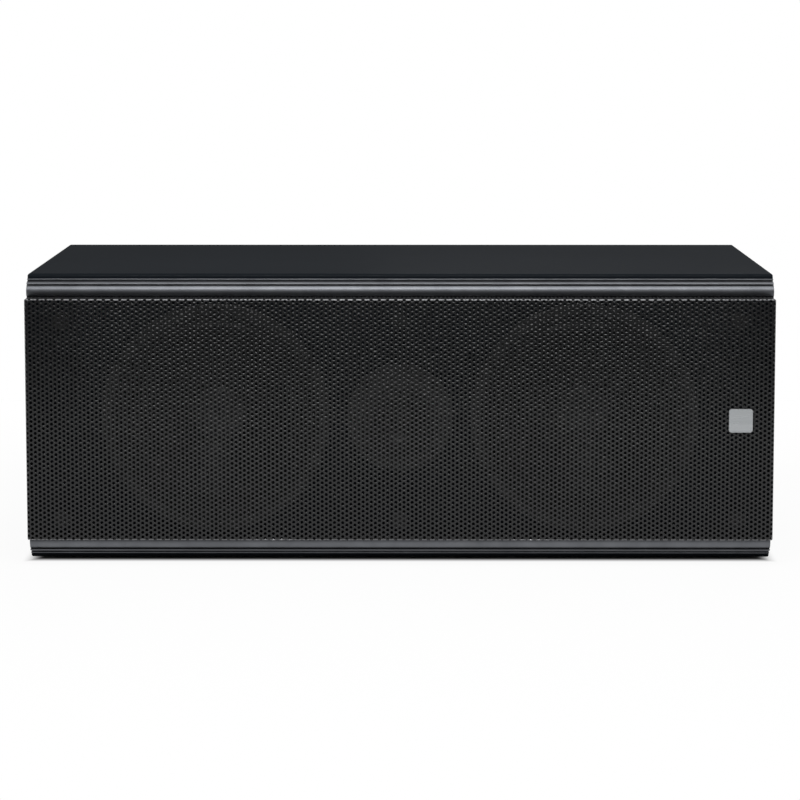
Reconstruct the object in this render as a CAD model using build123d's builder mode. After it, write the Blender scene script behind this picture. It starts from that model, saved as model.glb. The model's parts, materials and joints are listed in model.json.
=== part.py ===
"""Center channel speaker: two 8-inch woofers and a waveguide tweeter behind a folded perforated grille.

Millimetres. +Z is up and the front faces -Y. The origin is on the floor, under the middle of the speaker.
"""

import os
from math import asin, cos, pi, sin

from build123d import *

# Cabinet
cabinet_width = 720.0
cabinet_height = 278.0
overall_depth = 380.0
panel_thickness = 18.0
rear_inset = 4.0
edge_round = 2.0
lip_setback = 12.0
lip_thickness = 4.7
lip_round = 4.0
foot_height = 3.0
foot_radius = 11.0
foot_inset = 40.0
baffle_thickness = 22.0

# Front trims, from the panel's lip inwards: a thin reed, a sloping reed and a bead, with grooves between
top_trim_height = 20.5
bottom_trim_height = 21.5
reed_setback = 8.4
reed_width = 1.0
groove_depth = 2.6
reed_groove = 1.4
slope_setback = 3.0
slope_run = 5.7
slope_drop = 1.7
slope_bulge = 0.25
slope_nose = 0.8
slope_nose_round = 0.3
bead_groove = 0.9
bead_setback = 25.0
bead_shoulder = 4.2
bead_heel = 1.2

# Grille
grille_depth = 28.0
grille_sheet = 1.2
grille_bend = 1.6
grille_side_gap = 1.0
grille_top_gap = 0.5
grille_bottom_gap = 2.0
seat_gap = 0.3
slot_columns = 12
slot_rows = 4
slot_width = 20.0
slot_bar = 12.4
badge_size = 22.7
badge_corner = 2.5
badge_thickness = 1.5
badge_inset = 33.4
badge_rim = 0.8
badge_rim_height = 0.4
peg_radius = 3.0
peg_base_radius = 8.0
peg_base = 2.0
peg_reach = 10.0
peg_clearance = 0.2
peg_side_inset = 35.0
peg_edge_inset = 22.0
grommet_wall = 3.0
grommet_depth = 13.0

# Woofers, with depths measured back from the face of the baffle and insets from the edge of the flange
woofer_spacing = 356.0
woofer_edge_gap = 7.5
driver_gap = 15.0
woofer_flange = 5.0
woofer_flange_round = 1.2
woofer_cutout_inset = 18.0
cutout_clearance = 1.0
woofer_screw_inset = 5.5
woofer_screw_count = 6
surround_recess = 2.0
surround_outer_inset = 10.5
surround_roll_outer_inset = 16.5
surround_roll_inner_inset = 30.0
surround_inner_inset = 33.5
surround_wall = 0.8
surround_rise = 7.0
basket_depth = 66.0
basket_wall = 3.0
basket_collar = 8.0
basket_band_inset = 47.0
basket_band = 9.0
basket_hub_inset = 59.0
basket_hub_bore = 30.0
spoke_width = 20.0
spoke_count = 6
spider_depth = 50.0
spider_seat = 7.0
spider_wall = 0.9
spider_wave = 2.0
spider_waves = 4
spider_cuff = 4.0
cone_depth = 34.0
cone_wall = 1.2
cone_edge_inset = 30.5
cone_ledge = 4.5
coil_radius = 19.3
coil_wall = 0.8
coil_gap = 0.7
coil_length = 50.0
coil_lead_in = 3.0
glue_gap = 0.15
cap_radius = 27.0
cap_rise = 8.0
cap_wall = 0.6
top_plate_radius = 55.0
top_plate = 6.0
magnet_radius = 60.0
magnet_bore = 32.0
magnet = 18.0
back_plate_radius = 56.0
back_plate = 6.0
pole_vent = 6.0
tab_width = 26.0
tab_height = 10.0
tab_depth = 5.0
screw_head_radius = 4.6
screw_head = 3.0
screw_shank_radius = 2.5
screw_length = 24.0
screw_socket = 1.8
screw_socket_depth = 1.8
screw_clearance = 0.25

# Tweeter, with depths measured the same way
tweeter_radius = 52.0
tweeter_flange = 4.0
tweeter_flange_round = 0.8
tweeter_cutout = 39.0
tweeter_mouth = 39.0
tweeter_throat = 14.2
tweeter_throat_land = 1.5
tweeter_flare_radius = 22.0
tweeter_flare_depth = 3.4
tweeter_depth = 12.0
tweeter_screw_inset = 6.5
tweeter_screw_count = 4
tweeter_screw_head_radius = 3.5
tweeter_screw_head = 2.2
tweeter_screw_shank_radius = 2.0
tweeter_screw_socket = 1.4
tweeter_screw_socket_depth = 1.2
tweeter_screw_length = 18.0
dome_radius = 12.7
dome_rise = 5.0
dome_wall = 0.5
dome_lift = 0.3
dome_coil_length = 8.0
dome_gap = 0.6
dome_surround_radius = 20.0
dome_surround = 0.6
tweeter_plate_radius = 36.0
tweeter_plate = 4.0
tweeter_magnet_bore = 20.0
tweeter_magnet = 13.0
tweeter_back_radius = 34.0
tweeter_back = 4.0
tweeter_pole_drop = 0.8

# Rear terminals
cup_width = 92.0
cup_height = 72.0
cup_flange = 2.5
cup_flange_corner = 6.0
cup_lip = 10.0
cup_depth = 26.0
cup_wall = 2.5
cup_corner = 4.0
cup_clearance = 0.3
cup_screw_inset = 5.0
cup_screw_head_radius = 3.0
cup_screw_head = 1.4
cup_screw_shank_radius = 1.6
cup_screw_length = 14.0
post_spacing = 19.0
post_radius = 3.25
post_bore = 2.0
post_bore_depth = 16.0
post_collar_radius = 6.5
post_collar = 3.0
post_length = 20.0
post_tail = 14.0
post_clearance = 0.08
post_cap_radius = 7.0
post_cap_length = 18.5
post_cap_end = 1.5
post_cap_hole = 2.5
post_cap_gap = 0.3
post_flutes = 12
post_flute_radius = 0.8

# Inside
brace_thickness = 15.0
brace_gap = 0.5
brace_window_margin = 45.0
brace_window_corner = 25.0
pad_thickness = 40.0
pad_margin = 12.0
board_width = 120.0
board_length = 90.0
board_thickness = 1.6
board_y = 55.0
standoff_radius = 4.0
standoff_height = 8.0
standoff_inset = 6.0
woofer_inductor_radius = 21.0
woofer_inductor_bore = 9.0
woofer_inductor_height = 22.0
tweeter_inductor_radius = 15.0
tweeter_inductor_bore = 7.0
tweeter_inductor_height = 16.0
capacitor_radius = 8.0
capacitor_length = 34.0
capacitor_spacing = 20.0
part_spacing = 28.0
lead_radius = 2.0

# Planes that the pieces share
front_y = -overall_depth / 2
rear_y = overall_depth / 2
grille_face_y = front_y + badge_thickness
bead_front_y = grille_face_y + bead_setback
baffle_y = grille_face_y + grille_depth
carcass_y = baffle_y + baffle_thickness
rear_panel_y = rear_y - rear_inset
rear_inner_y = rear_panel_y - panel_thickness
underside_z = foot_height
top_z = foot_height + cabinet_height
floor_z = underside_z + panel_thickness
ceiling_z = top_z - panel_thickness
opening_low_z = underside_z + bottom_trim_height
opening_high_z = top_z - top_trim_height
opening_height = opening_high_z - opening_low_z
axis_z = (opening_low_z + opening_high_z) / 2
half_width = cabinet_width / 2
inner_half_width = half_width - panel_thickness
trim_depth = carcass_y - bead_front_y

# Each woofer fills the opening between the trims, or the room beside the tweeter where that is less
woofer_x = woofer_spacing / 2
woofer_radius = min(opening_height / 2 - woofer_edge_gap, woofer_x - tweeter_radius - driver_gap)
woofer_cutout = woofer_radius - woofer_cutout_inset
woofer_screw_circle = woofer_radius - woofer_screw_inset
surround_outer = woofer_radius - surround_outer_inset
surround_roll_outer = woofer_radius - surround_roll_outer_inset
surround_roll_inner = woofer_radius - surround_roll_inner_inset
surround_inner = woofer_radius - surround_inner_inset
cone_edge_radius = woofer_radius - cone_edge_inset
cone_flat_radius = cone_edge_radius - cone_ledge
basket_mouth = woofer_cutout - cutout_clearance
basket_band_radius = woofer_radius - basket_band_inset
basket_hub_radius = woofer_radius - basket_hub_inset
seat_depth = surround_recess - woofer_flange
neck_depth = seat_depth + cone_depth
coil_outer = coil_radius + coil_wall
brace_face_x = woofer_x - basket_mouth - brace_gap
tag_x = woofer_x - basket_band_radius - tab_depth - basket_wall / 2
lead_bend = (tag_x - brace_face_x) / 2 - lead_radius
tweeter_screw_circle = tweeter_radius - tweeter_screw_inset

peg_x = half_width - peg_side_inset
peg_z = opening_height / 2 - peg_edge_inset
peg_points = [(x, axis_z + z) for x in (-peg_x, 0, peg_x) for z in (-peg_z, peg_z)]
grommet_radius = peg_radius + peg_clearance + grommet_wall
badge_point = (half_width - badge_inset, axis_z + (grille_bottom_gap - grille_top_gap) / 2)

cup_recess_width = cup_width - 2 * cup_lip
cup_recess_height = cup_height - 2 * cup_lip
cup_floor_y = rear_panel_y + cup_flange - cup_depth
cup_back_y = cup_floor_y - cup_wall
cup_screw_points = [
    (x * (cup_width / 2 - cup_screw_inset), axis_z + z * (cup_height / 2 - cup_screw_inset))
    for x in (-1, 1)
    for z in (-1, 1)
]
post_points = {"red": post_spacing / 2, "black": -post_spacing / 2}


def front_plane(y):
    """A plane across the speaker at y: its x is +X, its y is +Z and its normal points forward, to -Y."""
    return Plane.XZ.offset(-y)


def driver_plane(x):
    """A driver's half-section plane: its x is the radius and its y the depth behind the baffle's face."""
    return Plane(origin=(x, baffle_y, axis_z), x_dir=(1, 0, 0), z_dir=(0, 0, 1))


def driver_axis(x):
    return Axis((x, baffle_y, axis_z), (0, 1, 0))


def save(piece, label):
    piece.label = label
    export_step(piece, f"parts/{label}.step")


def make_box(label, low, high):
    """A plain rectangular piece between two corners."""
    with BuildPart() as block:
        with Locations(tuple((a + b) / 2 for a, b in zip(low, high))):
            Box(*(b - a for a, b in zip(low, high)))
    save(block.part, label)


def make_turned(label, x, outline):
    """A piece of revolution about the driver axis at x, from its half section as (radius, depth) points."""
    with BuildPart() as turned:
        with BuildSketch(driver_plane(x)):
            with BuildLine():
                Polyline(*outline, close=True)
            make_face()
        revolve(axis=driver_axis(x))
    save(turned.part, label)


def polar_spots(x, circle, count):
    """Spots on a screw circle round a driver, the first half a step from the horizontal."""
    turns = [2 * pi * (step + 0.5) / count for step in range(count)]
    return [(x + circle * cos(turn), axis_z + circle * sin(turn)) for turn in turns]


def make_screws(label, spots, face_y, head, shank, socket):
    """Socket screws seated on face_y, each given as (radius, length), driven back into the cabinet."""
    with BuildPart() as screws:
        with BuildSketch(front_plane(face_y)):
            with Locations(*spots):
                Circle(head[0])
        extrude(amount=head[1])
        with BuildSketch(front_plane(face_y)):
            with Locations(*spots):
                Circle(shank[0])
        extrude(amount=-shank[1])
        with BuildSketch(front_plane(face_y - head[1])):
            with Locations(*spots):
                RegularPolygon(socket[0], 6)
        extrude(amount=-socket[1], mode=Mode.SUBTRACT)
    save(screws.part, label)


def cap_line(radius, rise, rim_depth):
    """The arc of a domed cap from its crown on the axis to its rim."""
    sphere = (radius**2 + rise**2) / (2 * rise)
    half_turn = asin(radius / sphere) / 2
    crown = rim_depth - rise
    middle = (sphere * sin(half_turn), crown + sphere * (1 - cos(half_turn)))
    return ThreePointArc((0, crown), middle, (radius, rim_depth))


def make_trim(label, base_z, up, height):
    """A full-width front trim under a panel's lip. up is 1 for the bottom trim and -1 for the top one."""

    def at(setback, rise):
        return (bead_front_y + setback, base_z + up * rise)

    reed_back = reed_setback + reed_width / 2
    reed_end = lip_thickness + reed_width
    slope_start = reed_end + reed_groove
    slope_end = slope_start + slope_drop
    slope_front = slope_setback + slope_nose_round
    slope_middle = (slope_front + slope_run / 2 - slope_bulge / 2, slope_start + slope_drop / 2 - slope_bulge)
    nose_end = slope_end + slope_nose
    shoulder = nose_end + bead_groove
    with BuildPart() as trim:
        with BuildSketch(Plane.YZ.offset(-half_width)):
            with BuildLine():
                Polyline(
                    at(bead_heel, height),
                    at(trim_depth, height),
                    at(trim_depth, lip_thickness),
                    at(reed_back, lip_thickness),
                )
                ThreePointArc(
                    at(reed_back, lip_thickness),
                    at(reed_setback, lip_thickness + reed_width / 2),
                    at(reed_back, reed_end),
                )
                Polyline(
                    at(reed_back, reed_end),
                    at(reed_setback + groove_depth, reed_end),
                    at(reed_setback + groove_depth, slope_start),
                    at(slope_front + slope_run, slope_start),
                )
                ThreePointArc(
                    at(slope_front + slope_run, slope_start), at(*slope_middle), at(slope_front, slope_end)
                )
                ThreePointArc(
                    at(slope_front, slope_end),
                    at(slope_setback, slope_end + slope_nose / 2),
                    at(slope_front, nose_end),
                )
                Polyline(
                    at(slope_front, nose_end),
                    at(bead_shoulder + groove_depth, nose_end),
                    at(bead_shoulder + groove_depth, shoulder),
                    at(bead_shoulder, shoulder),
                )
                ThreePointArc(
                    at(bead_shoulder, shoulder),
                    at(0, (shoulder + height) / 2 + bead_heel),
                    at(bead_heel, height),
                )
            make_face()
        extrude(amount=cabinet_width)
    save(trim.part, label)


def make_baffle():
    with BuildPart() as baffle:
        with BuildSketch(front_plane(baffle_y)):
            with Locations((0, axis_z)):
                Rectangle(cabinet_width, opening_height)
            with Locations((-woofer_x, axis_z), (woofer_x, axis_z)):
                Circle(woofer_cutout, mode=Mode.SUBTRACT)
            with Locations((0, axis_z)):
                Circle(tweeter_cutout, mode=Mode.SUBTRACT)
            for x in (-woofer_x, woofer_x):
                with Locations(*polar_spots(x, woofer_screw_circle, woofer_screw_count)):
                    Circle(screw_shank_radius + glue_gap, mode=Mode.SUBTRACT)
            with Locations(*polar_spots(0, tweeter_screw_circle, tweeter_screw_count)):
                Circle(tweeter_screw_shank_radius + glue_gap, mode=Mode.SUBTRACT)
        extrude(amount=-baffle_thickness)
        with BuildSketch(front_plane(baffle_y)):
            with Locations(*peg_points):
                Circle(grommet_radius)
        extrude(amount=-grommet_depth, mode=Mode.SUBTRACT)
    save(baffle.part, "front_baffle")


def make_top_and_bottom():
    """Each panel has a thin lip that reaches forward over its trim and ends in a round nose."""
    lip_y = bead_front_y + lip_setback

    def round_ends(base_z, up):
        with BuildSketch(front_plane(front_y)) as ends:
            with Locations((0, base_z + up * panel_thickness)):
                Rectangle(cabinet_width, 2 * panel_thickness)
            fillet(ends.vertices().sort_by(Axis.Y, reverse=up < 0)[:2], edge_round)
        extrude(ends.sketch, amount=-overall_depth, mode=Mode.INTERSECT)

    for label, base_z, up in (("top_panel", top_z, -1), ("bottom_panel", underside_z, 1)):
        inner_z = base_z + up * panel_thickness
        lip_z = base_z + up * lip_thickness
        with BuildPart() as panel:
            with BuildSketch(Plane.YZ.offset(-half_width)) as section:
                with BuildLine():
                    Polyline(
                        (carcass_y, inner_z),
                        (carcass_y, lip_z),
                        (lip_y, lip_z),
                        (lip_y, base_z),
                        (rear_y, base_z),
                        (rear_y, inner_z),
                        close=True,
                    )
                make_face()
                outer_corners = section.vertices().sort_by(Axis.Y, reverse=up < 0)[:2].sort_by(Axis.X)
                fillet(outer_corners[0], lip_round)
                fillet(outer_corners[1], edge_round)
            extrude(amount=cabinet_width)
            round_ends(base_z, up)
        save(panel.part, label)


def make_rear_panel():
    with BuildPart() as panel:
        with BuildSketch(front_plane(rear_inner_y)):
            with Locations((0, (floor_z + ceiling_z) / 2)):
                Rectangle(2 * inner_half_width, ceiling_z - floor_z)
            with Locations((0, axis_z)):
                Rectangle(
                    cup_recess_width + 2 * (cup_wall + cup_clearance),
                    cup_recess_height + 2 * (cup_wall + cup_clearance),
                    mode=Mode.SUBTRACT,
                )
            with Locations(*cup_screw_points):
                Circle(cup_screw_shank_radius + glue_gap, mode=Mode.SUBTRACT)
        extrude(amount=-panel_thickness)
    save(panel.part, "rear_panel")


def make_feet():
    foot_x = half_width - foot_inset
    foot_ys = (carcass_y + foot_inset, rear_y - foot_inset)
    with BuildPart() as feet:
        with BuildSketch():
            with Locations(*[(x, y) for x in (-foot_x, foot_x) for y in foot_ys]):
                Circle(foot_radius)
        extrude(amount=foot_height)
    save(feet.part, "rubber_feet")


def make_grille():
    """A coarse grid of slots, left out behind the badge and the pegs, stands for the sheet's fine holes."""
    width = cabinet_width - 2 * grille_side_gap
    low_z = opening_low_z + grille_bottom_gap
    high_z = opening_high_z - grille_top_gap
    depth = grille_depth - seat_gap
    column_step = width / slot_columns
    row_step = (high_z - low_z) / slot_rows
    slot_height = row_step - slot_bar
    mounted = [(point, peg_base_radius) for point in peg_points] + [(badge_point, badge_size / 2)]

    def is_free(spot):
        return all(
            abs(spot[0] - x) > slot_width / 2 + room or abs(spot[1] - z) > slot_height / 2 + room
            for (x, z), room in mounted
        )

    spots = [
        ((column + 0.5) * column_step - width / 2, low_z + (row + 0.5) * row_step)
        for column in range(slot_columns)
        for row in range(slot_rows)
    ]
    with BuildPart() as grille:
        with Locations((0, grille_face_y + depth / 2, (low_z + high_z) / 2)):
            Box(width, depth, high_z - low_z)
        fillet(grille.edges().filter_by(Axis.Y), radius=grille_bend)
        fillet(grille.faces().sort_by(Axis.Y)[0].edges(), radius=grille_bend)
        offset(amount=-grille_sheet, openings=grille.faces().sort_by(Axis.Y)[-1])
        with BuildSketch(front_plane(grille_face_y)):
            with Locations(*filter(is_free, spots)):
                SlotOverall(slot_height, slot_width, rotation=90)
        extrude(amount=-grille_sheet, mode=Mode.SUBTRACT)
    save(grille.part, "grille")


def make_badge():
    with BuildPart() as badge:
        with BuildSketch(front_plane(grille_face_y)):
            with Locations(badge_point):
                RectangleRounded(badge_size, badge_size, badge_corner)
        extrude(amount=badge_thickness)
        with BuildSketch(front_plane(front_y)):
            with Locations(badge_point):
                inner = badge_size - 2 * badge_rim
                RectangleRounded(inner, inner, badge_corner - badge_rim)
        extrude(amount=-badge_rim_height, mode=Mode.SUBTRACT)
    save(badge.part, "grille_badge")


def make_pegs():
    base_y = grille_face_y + grille_sheet
    with BuildPart() as pegs:
        for radius, length in (
            (peg_base_radius, peg_base),
            (peg_radius, grille_depth - grille_sheet + peg_reach),
        ):
            with BuildSketch(front_plane(base_y)):
                with Locations(*peg_points):
                    Circle(radius)
            extrude(amount=-length)
    save(pegs.part, "grille_pegs")
    with BuildPart() as grommets:
        with BuildSketch(front_plane(baffle_y)):
            with Locations(*peg_points):
                Circle(grommet_radius)
                Circle(peg_radius + peg_clearance, mode=Mode.SUBTRACT)
        extrude(amount=-grommet_depth)
    save(grommets.part, "grille_grommets")


def make_basket(label, x):
    inner_band = basket_band_radius - basket_wall
    spider_lip = inner_band - spider_seat
    window_low = basket_collar + basket_wall
    window_high = spider_depth - 2 * basket_wall
    spider_ring = basket_band_radius * sin(pi / spoke_count)
    with BuildPart() as basket:
        with BuildSketch(driver_plane(x)):
            with BuildLine():
                Polyline(
                    (woofer_radius, woofer_flange_round - woofer_flange),
                    (woofer_radius, 0),
                    (basket_mouth, 0),
                    (basket_mouth, basket_collar),
                    (basket_band_radius, spider_depth - basket_wall),
                    (basket_band_radius, spider_depth + basket_band),
                    (basket_hub_radius, basket_depth),
                    (basket_hub_bore, basket_depth),
                    (basket_hub_bore, basket_depth - basket_wall),
                    (basket_hub_radius - basket_wall, basket_depth - basket_wall),
                    (spider_lip, spider_depth + basket_wall),
                    (spider_lip, spider_depth),
                    (inner_band, spider_depth),
                    (inner_band, spider_depth - basket_wall),
                    (basket_mouth - basket_wall, basket_collar - basket_wall),
                    (basket_mouth - basket_wall, seat_depth),
                    (surround_outer + seat_gap, seat_depth),
                    (surround_outer + seat_gap, -woofer_flange),
                    (woofer_radius - woofer_flange_round, -woofer_flange),
                    close=True,
                )
            make_face()
        revolve(axis=driver_axis(x))
        with BuildSketch(front_plane(baffle_y - woofer_flange)):
            with Locations(*polar_spots(x, woofer_screw_circle, woofer_screw_count)):
                Circle(screw_shank_radius + screw_clearance)
        extrude(amount=-woofer_flange, mode=Mode.SUBTRACT)
        window = (
            2 * (woofer_cutout - basket_band_radius),
            2 * spider_ring - spoke_width,
            window_high - window_low,
        )
        middle_y = baffle_y + (window_low + window_high) / 2
        with Locations(Plane(origin=(x, middle_y, axis_z), x_dir=(1, 0, 0), z_dir=(0, 1, 0))):
            with PolarLocations((woofer_cutout + basket_band_radius) / 2, spoke_count):
                Box(*window, mode=Mode.SUBTRACT)
    save(basket.part, label)


def make_surround(label, x):
    back = seat_depth
    face = seat_depth - surround_wall
    middle = (surround_roll_inner + surround_roll_outer) / 2
    half_wall = surround_wall / 2
    with BuildPart() as surround:
        with BuildSketch(driver_plane(x)):
            with BuildLine():
                Line((surround_inner, back), (surround_inner, face))
                Line((surround_inner, face), (surround_roll_inner - half_wall, face))
                ThreePointArc(
                    (surround_roll_inner - half_wall, face),
                    (middle, face - surround_rise),
                    (surround_roll_outer + half_wall, face),
                )
                Polyline(
                    (surround_roll_outer + half_wall, face),
                    (surround_outer, face),
                    (surround_outer, back),
                    (surround_roll_outer - half_wall, back),
                )
                ThreePointArc(
                    (surround_roll_outer - half_wall, back),
                    (middle, back - surround_rise),
                    (surround_roll_inner + half_wall, back),
                )
                Line((surround_roll_inner + half_wall, back), (surround_inner, back))
            make_face()
        revolve(axis=driver_axis(x))
    save(surround.part, label)


def make_spider(label, x):
    """A corrugated ring from the coil to its seat in the basket, flat at both edges."""
    inner = coil_outer + glue_gap
    outer = basket_band_radius - basket_wall - glue_gap
    first = inner + spider_cuff
    last = outer - spider_seat
    steps = 2 * spider_waves
    ridge = [(inner, spider_depth), (first, spider_depth)]
    for step in range(1, steps):
        swing = spider_wave if step % 2 else -spider_wave
        ridge.append((first + (last - first) * step / steps, spider_depth - swing))
    ridge += [(last, spider_depth), (outer, spider_depth)]
    front = [(radius, depth - spider_wall) for radius, depth in reversed(ridge)]
    make_turned(label, x, ridge + front)


def make_dust_cap(label, x):
    slope = cone_depth / (cone_flat_radius - coil_outer)
    rim_depth = seat_depth + slope * (cone_flat_radius - cap_radius)
    with BuildPart() as cap:
        with BuildSketch(driver_plane(x)):
            with BuildLine():
                cap_line(cap_radius, cap_rise, rim_depth)
                Line((cap_radius, rim_depth), (cap_radius - cap_wall, rim_depth))
                cap_line(cap_radius - cap_wall, cap_rise - cap_wall, rim_depth)
                Line((0, rim_depth - cap_rise + cap_wall), (0, rim_depth - cap_rise))
            make_face()
        revolve(axis=driver_axis(x))
    save(cap.part, label)


def make_woofer_terminals(label, x, inward):
    """A tag block on the basket's band, on the side towards the tweeter."""
    middle_y = baffle_y + spider_depth + basket_band - tab_height / 2
    with BuildPart() as tags:
        with Locations((x + inward * (basket_band_radius + tab_depth / 2), middle_y, axis_z)):
            Box(tab_depth + basket_wall, tab_height, tab_width)
        with Locations(Plane(origin=(x, middle_y, axis_z), x_dir=(1, 0, 0), z_dir=(0, 1, 0))):
            Cylinder(basket_band_radius, 2 * tab_height, mode=Mode.SUBTRACT)
    save(tags.part, label)


def make_woofer(side, x, inward):
    name = f"{side}_woofer"
    make_basket(f"{name}_basket", x)
    make_surround(f"{name}_surround", x)
    make_spider(f"{name}_spider", x)
    make_turned(
        f"{name}_cone",
        x,
        [
            (coil_outer, neck_depth),
            (cone_flat_radius, seat_depth),
            (cone_edge_radius, seat_depth),
            (cone_edge_radius, seat_depth + cone_wall),
            (cone_flat_radius, seat_depth + cone_wall),
            (coil_outer, neck_depth + cone_wall),
        ],
    )
    make_dust_cap(f"{name}_dust_cap", x)
    coil_start = neck_depth - coil_lead_in
    make_ring(f"{name}_voice_coil", x, coil_radius, coil_outer, coil_start, coil_start + coil_length)
    plate_back = basket_depth + top_plate
    make_ring(f"{name}_top_plate", x, coil_outer + coil_gap, top_plate_radius, basket_depth, plate_back)
    magnet_back = plate_back + magnet
    make_ring(f"{name}_magnet", x, magnet_bore, magnet_radius, plate_back, magnet_back)
    pole_radius = coil_radius - coil_gap
    make_turned(
        f"{name}_yoke",
        x,
        [
            (pole_vent, basket_depth),
            (pole_radius, basket_depth),
            (pole_radius, magnet_back),
            (back_plate_radius, magnet_back),
            (back_plate_radius, magnet_back + back_plate),
            (pole_vent, magnet_back + back_plate),
        ],
    )
    make_woofer_terminals(f"{name}_terminals", x, inward)
    make_screws(
        f"{name}_screws",
        polar_spots(x, woofer_screw_circle, woofer_screw_count),
        baffle_y - woofer_flange,
        (screw_head_radius, screw_head),
        (screw_shank_radius, screw_length),
        (screw_socket, screw_socket_depth),
    )


def make_ring(label, x, inner, outer, front, back):
    make_turned(label, x, [(inner, front), (outer, front), (outer, back), (inner, back)])


def make_tweeter_faceplate():
    body_radius = tweeter_cutout - cutout_clearance
    land = tweeter_depth - tweeter_throat_land
    with BuildPart() as plate:
        with BuildSketch(driver_plane(0)):
            with BuildLine():
                ThreePointArc(
                    (tweeter_throat, land),
                    (tweeter_flare_radius, tweeter_flare_depth),
                    (tweeter_mouth, -tweeter_flange),
                )
                Polyline(
                    (tweeter_mouth, -tweeter_flange),
                    (tweeter_radius - tweeter_flange_round, -tweeter_flange),
                    (tweeter_radius, tweeter_flange_round - tweeter_flange),
                    (tweeter_radius, 0),
                    (body_radius, 0),
                    (body_radius, tweeter_depth),
                    (tweeter_throat, tweeter_depth),
                    (tweeter_throat, land),
                )
            make_face()
        revolve(axis=driver_axis(0))
        with BuildSketch(front_plane(baffle_y - tweeter_flange)):
            with Locations(*polar_spots(0, tweeter_screw_circle, tweeter_screw_count)):
                Circle(tweeter_screw_shank_radius + screw_clearance)
        extrude(amount=-tweeter_flange, mode=Mode.SUBTRACT)
    save(plate.part, "tweeter_faceplate")


def make_tweeter_dome():
    """The dome and its coil tube, which move as one piece."""
    rim_depth = tweeter_depth + dome_lift
    with BuildPart() as dome:
        with BuildSketch(driver_plane(0)):
            with BuildLine():
                cap_line(dome_radius, dome_rise, rim_depth)
                Polyline(
                    (dome_radius, rim_depth),
                    (dome_radius, rim_depth + dome_coil_length),
                    (dome_radius - dome_wall, rim_depth + dome_coil_length),
                    (dome_radius - dome_wall, rim_depth),
                )
                cap_line(dome_radius - dome_wall, dome_rise - dome_wall, rim_depth)
                Line((0, rim_depth - dome_rise + dome_wall), (0, rim_depth - dome_rise))
            make_face()
        revolve(axis=driver_axis(0))
    save(dome.part, "tweeter_dome")


def make_tweeter():
    make_tweeter_faceplate()
    make_tweeter_dome()
    plate_front = tweeter_depth + dome_surround
    plate_back = plate_front + tweeter_plate
    magnet_back = plate_back + tweeter_magnet
    pole_radius = dome_radius - dome_wall - dome_gap
    make_ring(
        "tweeter_surround", 0, dome_radius + glue_gap, dome_surround_radius, tweeter_depth, plate_front
    )
    make_ring(
        "tweeter_top_plate", 0, dome_radius + dome_gap, tweeter_plate_radius, plate_front, plate_back
    )
    make_ring("tweeter_magnet", 0, tweeter_magnet_bore, tweeter_plate_radius, plate_back, magnet_back)
    make_turned(
        "tweeter_yoke",
        0,
        [
            (0, plate_front + tweeter_pole_drop),
            (pole_radius, plate_front + tweeter_pole_drop),
            (pole_radius, magnet_back),
            (tweeter_back_radius, magnet_back),
            (tweeter_back_radius, magnet_back + tweeter_back),
            (0, magnet_back + tweeter_back),
        ],
    )
    make_screws(
        "tweeter_screws",
        polar_spots(0, tweeter_screw_circle, tweeter_screw_count),
        baffle_y - tweeter_flange,
        (tweeter_screw_head_radius, tweeter_screw_head),
        (tweeter_screw_shank_radius, tweeter_screw_length),
        (tweeter_screw_socket, tweeter_screw_socket_depth),
    )


def make_braces():
    length = rear_inner_y - carcass_y
    height = ceiling_z - floor_z
    for side, x in (("left", -brace_face_x), ("right", brace_face_x - brace_thickness)):
        with BuildPart() as brace:
            with BuildSketch(Plane.YZ.offset(x)):
                with Locations(((carcass_y + rear_inner_y) / 2, (floor_z + ceiling_z) / 2)):
                    Rectangle(length, height)
                    RectangleRounded(
                        length - 2 * brace_window_margin,
                        height - 2 * brace_window_margin,
                        brace_window_corner,
                        mode=Mode.SUBTRACT,
                    )
            extrude(amount=brace_thickness)
        save(brace.part, f"{side}_brace")


def make_terminal_cup():
    outer_y = rear_panel_y + cup_flange
    with BuildPart() as cup:
        with BuildSketch(front_plane(rear_panel_y)):
            with Locations((0, axis_z)):
                RectangleRounded(cup_width, cup_height, cup_flange_corner)
        extrude(amount=-cup_flange)
        with BuildSketch(front_plane(cup_back_y)):
            with Locations((0, axis_z)):
                RectangleRounded(
                    cup_recess_width + 2 * cup_wall, cup_recess_height + 2 * cup_wall, cup_corner + cup_wall
                )
        extrude(amount=cup_back_y - rear_panel_y)
        with BuildSketch(front_plane(cup_floor_y)):
            with Locations((0, axis_z)):
                RectangleRounded(cup_recess_width, cup_recess_height, cup_corner)
        extrude(amount=cup_floor_y - outer_y, mode=Mode.SUBTRACT)
        with BuildSketch(front_plane(cup_back_y)):
            with Locations(*[(x, axis_z) for x in post_points.values()]):
                Circle(post_radius + post_clearance)
        extrude(amount=-cup_wall, mode=Mode.SUBTRACT)
        with BuildSketch(front_plane(rear_panel_y)):
            with Locations(*cup_screw_points):
                Circle(cup_screw_shank_radius + screw_clearance)
        extrude(amount=-cup_flange, mode=Mode.SUBTRACT)
    save(cup.part, "terminal_cup")
    with BuildPart() as screws:
        for start_y, radius, length in (
            (outer_y, cup_screw_head_radius, cup_screw_head),
            (outer_y - cup_screw_length, cup_screw_shank_radius, cup_screw_length),
        ):
            with BuildSketch(front_plane(start_y)):
                with Locations(*cup_screw_points):
                    Circle(radius)
            extrude(amount=-length)
    save(screws.part, "terminal_screws")


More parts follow.
